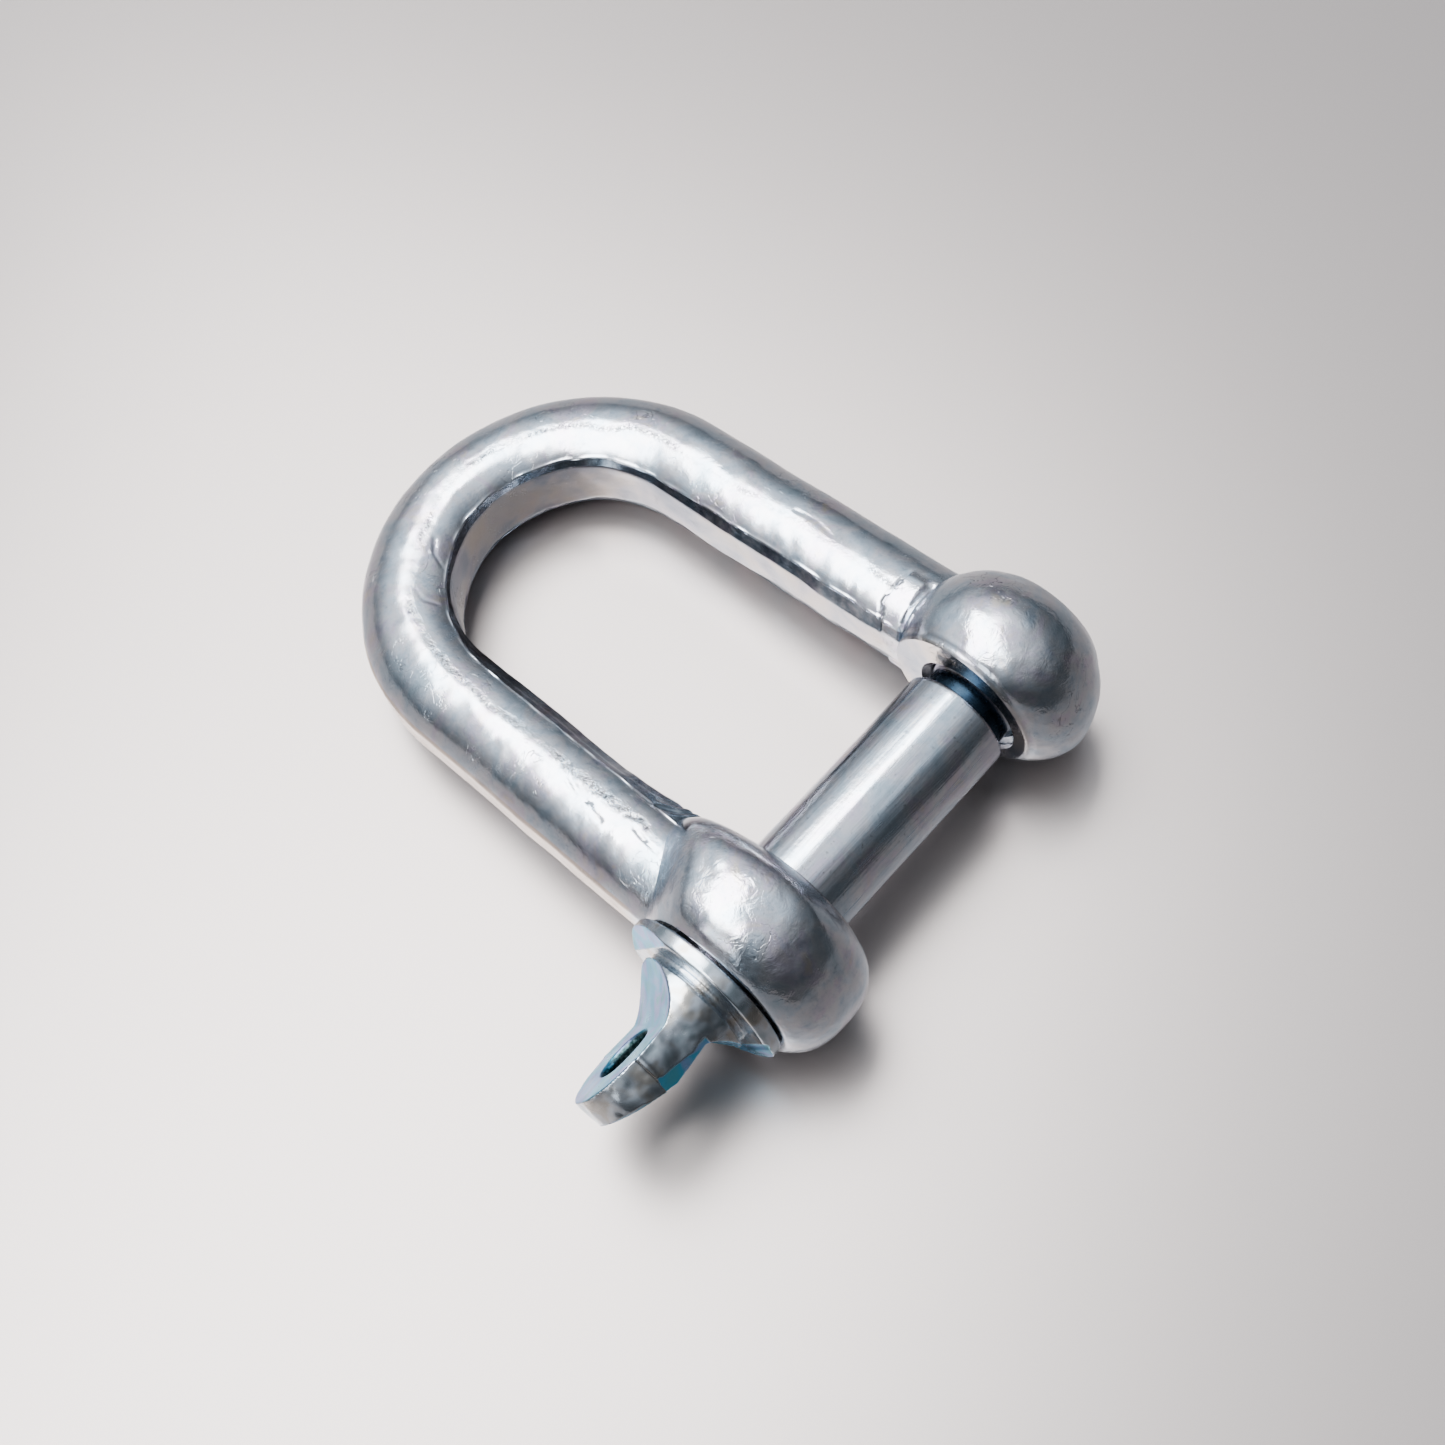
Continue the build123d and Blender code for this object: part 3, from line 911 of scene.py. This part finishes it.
# Colours of the plating, as the share of red, green and blue that it reflects. In a ramp, each has its place
ZINC_PATCHES = [
    (0.30, (0.56, 0.66, 0.74)), (0.43, (0.66, 0.72, 0.80)), (0.54, (0.74, 0.75, 0.79)),
    (0.62, (0.72, 0.68, 0.78)), (0.74, (0.78, 0.72, 0.64))]
STAIN = (0.34, 0.46, 0.58)
GRAIN = (0.22, 0.25, 0.28)
PIT = (0.09, 0.10, 0.11)
CRACK = (0.10, 0.11, 0.13)
LAND_PATCHES = [
    (0.36, (0.30, 0.34, 0.42)), (0.47, (0.46, 0.47, 0.52)),
    (0.56, (0.60, 0.57, 0.56)), (0.70, (0.68, 0.60, 0.52))]
OUTER_STRAW = (0.72, 0.58, 0.46)
# painted shade: the slanted band between ridge and inner land, darkened as if facing the dark room
BAND_PAINTED_SHADE = (0.05, 0.09, 0.13)
SHANK_LINE = (0.36, 0.45, 0.54)
SHANK_SPECK = (0.22, 0.24, 0.25)
PRESSED_FILM = [
    (0.34, (0.15, 0.45, 0.57)), (0.50, (0.16, 0.47, 0.69)),
    (0.63, (0.34, 0.40, 0.69)), (0.72, (0.20, 0.47, 0.58))]
HEAD_SKIN = [(0.36, (0.46, 0.53, 0.58)), (0.50, (0.62, 0.67, 0.73)), (0.64, (0.54, 0.52, 0.49))]
# painted shade inside the eye's hole
HOLE_PAINTED_SHADE = [(0.40, (0.03, 0.06, 0.06)), (0.70, (0.16, 0.24, 0.25))]
# painted shade in the thread's relief groove
GROOVE_PAINTED_SHADE = (0.035, 0.06, 0.09)
FLOOR_TONES = [(0.3, (0.44, 0.405, 0.395)), (0.7, (0.47, 0.435, 0.425))]


def zinc_tint(n, blue):
    """Clear passivated zinc: bluish grey, drifting to lilac and straw in patches, with bluish stains."""
    base = n.ramp(n.noise(6.0, 3.0, 0.6, distort=0.6), ZINC_PATCHES)
    stain = n.noise(2.2, 4.0, 0.65)
    return n.mix(n.range(stain, 0.0, blue, 0.5, 0.75), base, STAIN)


def zinc_forging():
    """Bright zinc over a forged skin: glossy, finely rippled, with small pits, cracks and grey grain, and painted
    shade on its slanted band.
    """
    n = Nodes("zinc_forging")
    colour = zinc_tint(n, 0.5)
    where = n.above(n.noise(9.0, 2.0, 0.5), 0.54, 0.66)
    grain = n.above(n.noise(0.55, 4.0, 0.75), 0.54, 0.72)
    colour = n.mix(n.math("MULTIPLY", grain, 0.16), colour, GRAIN)
    pit = n.math("MULTIPLY", n.above(n.noise(0.95, 3.0, 0.7), 0.63, 0.70), where)
    rough_line = n.math("MULTIPLY", n.above(n.noise(0.42, 3.0, 0.7), 0.47, 0.58), n.mask("seam"))
    pit = n.math("MAXIMUM", pit, rough_line)
    colour = n.mix(n.math("MULTIPLY", pit, 0.7), colour, PIT)
    crack = n.math("MULTIPLY", n.vein(3.4, 0.010), where)
    colour = n.mix(n.math("MULTIPLY", crack, 0.6), colour, CRACK)
    land = n.ramp(n.noise(11.0, 3.0, 0.6, distort=0.5), LAND_PATCHES)
    colour = n.mix(n.math("MULTIPLY", n.mask("land"), 0.75), colour, land)
    colour = n.mix(n.math("MULTIPLY", n.mask("outer"), 0.6), colour, OUTER_STRAW)
    streaked = n.range(n.noise(1.4, 3.0, 0.6), 0.70, 1.0, 0.35, 0.60)
    # painted shade on the slanted band, in streaks, lightened along the painted highlight line
    colour = n.mix(n.math("MULTIPLY", n.mask("band"), streaked), colour, BAND_PAINTED_SHADE)
    n.join(colour, n.shader.inputs["Base Color"])
    n.shader.inputs["Metallic"].default_value = 1.0
    haze = n.range(n.noise(4.0, 4.0, 0.65), 0.13, 0.27)
    n.join(n.math("ADD", haze, n.math("MULTIPLY", grain, 0.07)), n.shader.inputs["Roughness"])
    normal = n.bump(n.noise(4.2, 1.5, 0.45), 0.13)
    rippled = n.math("MULTIPLY", n.range(n.noise(7.0, 2.0, 0.5), 0.20, 1.0, 0.46, 0.58),
                     n.range(n.mask("lug"), 0.40, 1.0))
    normal = n.bump(n.math("MULTIPLY", n.noise(1.5, 3.0, 0.6, distort=0.8), rippled), 0.085, normal)
    normal = n.bump(n.noise(0.30, 2.0, 0.6), 0.005, normal)
    normal = n.bump(n.math("ADD", pit, crack), -0.028, normal)
    n.join(normal, n.shader.inputs["Normal"])
    return n.material


def zinc_shank():
    """Bright zinc over a rolled bar: smoother, with fine lines along it and grey specks."""
    n = Nodes("zinc_shank")
    streaks = n.noise(0.8, 3.0, 0.6, n.along_pin(0.06))
    broad = n.noise(3.2, 2.0, 0.5, n.along_pin(0.10))
    colour = n.mix(n.range(streaks, 0.0, 0.5, 0.48, 0.70), zinc_tint(n, 0.4), SHANK_LINE)
    specks = n.range(n.noise(0.6, 3.0, 0.7), 0.0, 0.6, 0.62, 0.70)
    colour = n.mix(specks, colour, SHANK_SPECK)
    n.join(colour, n.shader.inputs["Base Color"])
    n.shader.inputs["Metallic"].default_value = 1.0
    n.join(n.range(streaks, 0.10, 0.30), n.shader.inputs["Roughness"])
    normal = n.bump(broad, 0.10)
    normal = n.bump(streaks, 0.030, normal)
    normal = n.bump(n.noise(1.2, 3.0, 0.6), 0.018, normal)
    n.join(normal, n.shader.inputs["Normal"])
    return n.material


def zinc_head():
    """The head: grey, lumpy forged skin, smooth blue to lilac faces where the press struck, and painted shade in
    the eye's hole.
    """
    n = Nodes("zinc_head")
    pressed = n.mask("pressed")
    film = n.ramp(n.noise(5.0, 2.0, 0.5, distort=0.8), PRESSED_FILM)
    skin = n.ramp(n.noise(3.4, 2.0, 0.5), HEAD_SKIN)
    colour = n.mix(pressed, skin, film)
    # painted shade on the wall of the eye's hole
    hole_shade = n.ramp(n.noise(0.6, 3.0, 0.7), HOLE_PAINTED_SHADE)
    n.join(n.mix(n.mask("hole"), colour, hole_shade), n.shader.inputs["Base Color"])
    n.shader.inputs["Metallic"].default_value = 1.0
    haze = n.range(n.noise(3.6, 1.5, 0.5), 0.16, 0.30)
    n.join(n.math("ADD", haze, n.math("MULTIPLY", pressed, 0.10)), n.shader.inputs["Roughness"])
    calm = n.math("SUBTRACT", 1.0, pressed)
    normal = n.bump(n.math("MULTIPLY", n.noise(2.3, 1.0, 0.4), calm), 0.085)
    normal = n.bump(n.math("MULTIPLY", n.noise(0.6, 2.0, 0.5), calm), 0.003, normal)
    normal = n.bump(n.noise(0.25, 2.0, 0.5), 0.004, normal)
    n.join(normal, n.shader.inputs["Normal"])
    return n.material


def zinc_thread():
    """The thread: blue-grey zinc, with painted shade in its relief groove."""
    n = Nodes("zinc_thread")
    groove_end, painted_shade_gone = 19.0, 19.8
    dot = n.add("ShaderNodeVectorMath", operation="DOT_PRODUCT")
    n.join(n.coords, dot.inputs[0])
    dot.inputs[1].default_value = AXES[0]
    # painted shade: full in the relief groove, fading out where the thread starts
    groove = n.range(dot.outputs["Value"], 1.0, 0.0, groove_end * MM, painted_shade_gone * MM)
    colour = n.mix(groove, zinc_tint(n, 0.5), GROOVE_PAINTED_SHADE)
    n.join(colour, n.shader.inputs["Base Color"])
    n.shader.inputs["Metallic"].default_value = 1.0
    n.join(n.range(n.noise(1.2, 3.0, 0.6), 0.20, 0.36), n.shader.inputs["Roughness"])
    n.join(n.bump(n.noise(0.4, 3.0, 0.6), 0.008), n.shader.inputs["Normal"])
    return n.material


def floor_material():
    """A plain pale satin table top."""
    n = Nodes("pale_floor")
    n.join(n.ramp(n.noise(160.0, 1.0, 0.4), FLOOR_TONES), n.shader.inputs["Base Color"])
    n.shader.inputs["Metallic"].default_value = 0.80
    n.shader.inputs["Roughness"].default_value = 0.36
    return n.material


# ---------------------------------------------------------------- stage

def floor():
    """A wide flat table top under the shackle."""
    low = cad_box[0][2]
    half = 1.5
    mesh = bpy.data.meshes.new("floor")
    corners = [(-half, -half, low), (half, -half, low), (half, half, low), (-half, half, low)]
    mesh.from_pydata(corners, [], [(0, 1, 2, 3)])
    obj = bpy.data.objects.new("floor", mesh)
    bpy.context.scene.collection.objects.link(obj)
    obj.data.materials.append(floor_material())


def area_light(name, place, size, power, colour):
    """A soft rectangular light turned towards the shackle."""
    target = Vector((0, 0.03, 0))
    data = bpy.data.lights.new(name, "AREA")
    data.shape = "RECTANGLE"
    data.size, data.size_y = size
    data.energy = power
    data.color = colour
    obj = bpy.data.objects.new(name, data)
    obj.location = place
    obj.rotation_euler = (target - Vector(place)).to_track_quat("-Z", "Y").to_euler()
    bpy.context.scene.collection.objects.link(obj)


# The room's light: its brightness against the share that a direction has of straight up and a little back
ROOM_UP = (0.06, 0.38, 0.92)
ROOM_LEVELS = [(0.0, 0.08), (0.33, 0.18), (0.58, 0.42), (0.80, 0.95)]
ROOM_TINT = (0.93, 0.98, 1.04)
ROOM_SEEN = (0.62, 0.60, 0.59, 1.0)


def room():
    """Bright overhead and dark low down, leaning towards the crown's side; the camera sees it pale."""
    world = bpy.data.worlds.new("room")
    world.use_nodes = True
    tree = world.node_tree

    def node(kind):
        return tree.nodes.new("ShaderNode" + kind)

    height, ramp, seen, pale = node("VectorMath"), node("ValToRGB"), node("LightPath"), node("Mix")
    pale.data_type = "RGBA"
    height.operation = "DOT_PRODUCT"
    tree.links.new(node("TexCoord").outputs["Generated"], height.inputs[0])
    height.inputs[1].default_value = ROOM_UP
    tree.links.new(height.outputs["Value"], ramp.inputs["Fac"])
    tree.links.new(seen.outputs["Is Camera Ray"], pale.inputs["Factor"])
    tree.links.new(ramp.outputs["Color"], pale.inputs["A"])
    pale.inputs["B"].default_value = ROOM_SEEN
    tree.links.new(pale.outputs["Result"], tree.nodes["Background"].inputs["Color"])
    while len(ramp.color_ramp.elements) < len(ROOM_LEVELS):
        ramp.color_ramp.elements.new(0.5)
    for element, (at, level) in zip(ramp.color_ramp.elements, ROOM_LEVELS):
        element.position = at
        element.color = (*(level * share for share in ROOM_TINT), 1.0)
    bpy.context.scene.world = world


def studio():
    """A big soft light overhead, on the far side from the camera, and a weaker one from the side."""
    area_light("overhead", place=(-0.11, 0.26, 0.68), size=(0.92, 0.50), power=9.0, colour=(1.0, 0.99, 0.98))
    area_light("side", place=(-0.80, 0.10, 0.35), size=(0.45, 0.35), power=0.9, colour=(0.92, 0.96, 1.0))
    room()
    bpy.context.scene.view_settings.look = "AgX - Medium High Contrast"


def camera():
    """A close view from above the pin's head, turned a little about its own axis."""
    data = bpy.data.cameras.new("camera")
    data.lens = 61.6
    data.sensor_width = 36.0
    obj = bpy.data.objects.new("camera", data)
    target = Vector((-0.0038, 0.0250, -0.0022))
    azimuth, elevation, roll = math.radians(-34.09), math.radians(65.19), math.radians(-15.45)
    distance = 0.3414
    back = Vector((math.sin(azimuth) * math.cos(elevation), -math.cos(azimuth) * math.cos(elevation),
                   math.sin(elevation)))
    turn = back.to_track_quat("Z", "Y").to_matrix() @ Matrix.Rotation(roll, 3, "Z")
    obj.matrix_world = Matrix.Translation(target + back * distance) @ turn.to_4x4()
    bpy.context.scene.collection.objects.link(obj)
    bpy.context.scene.camera = obj


# ---------------------------------------------------------------- assembly

bow = shackle_forging()
bow.data.materials.clear()
bow.data.materials.append(zinc_forging())
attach(bow, "bow")
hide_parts("shackle_body")

shank = pin_shank()
shank.data.materials.append(zinc_shank())
shank.data.set_sharp_from_angle(angle=math.radians(40))
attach(shank, "pin_slide")
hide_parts("pin_shank")

head = pin_head()
head.data.materials.clear()
head.data.materials.append(zinc_head())
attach(head, "pin_turning")
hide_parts("pin_eye_head")

thread = frame["nodes"]["pin_threaded_end"]
thread.data.materials.clear()
thread.data.materials.append(zinc_thread())

floor()
studio()
camera()
